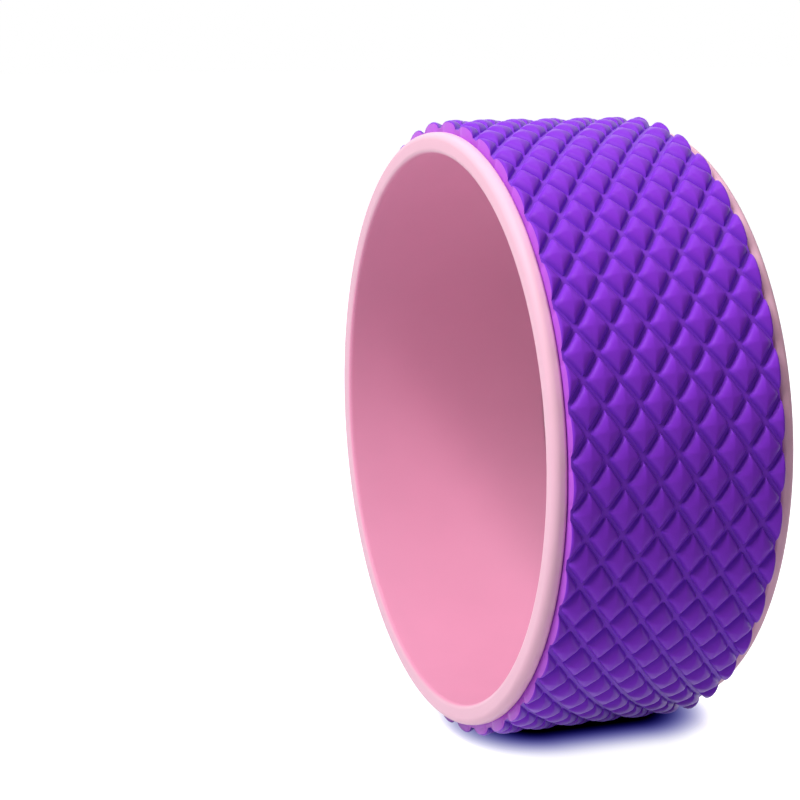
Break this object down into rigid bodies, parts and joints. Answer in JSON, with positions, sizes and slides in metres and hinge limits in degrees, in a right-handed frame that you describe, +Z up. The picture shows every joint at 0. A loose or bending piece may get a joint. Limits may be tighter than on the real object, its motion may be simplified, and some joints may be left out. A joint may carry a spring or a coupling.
{
  "type": "yoga wheel",
  "caption": "Open moulded hoop with rounded rims and a foam tread mat of diamond pyramid studs bonded round it, a prop to lean and roll on for back stretches.",
  "frame": {"origin": "centre of the wheel, on its axis midway between the two end faces", "axes": "+Y along the wheel's axis, +Z up, with the wheel standing on its tread; the mat's butt joint is at -X"},
  "size_m": [0.3336, 0.13, 0.3336],
  "materials": {
    "hoop_abs": "glossy moulded ABS, pink",
    "film_acrylic": "double-sided acrylic film, translucent white",
    "mat_foam": "satin closed-cell EVA foam, purple"
  },
  "bodies": {
    "root": {"hoop": "hoop_abs", "adhesive_film": "film_acrylic", "tread_mat": "mat_foam"}
  },
  "joints": []
}
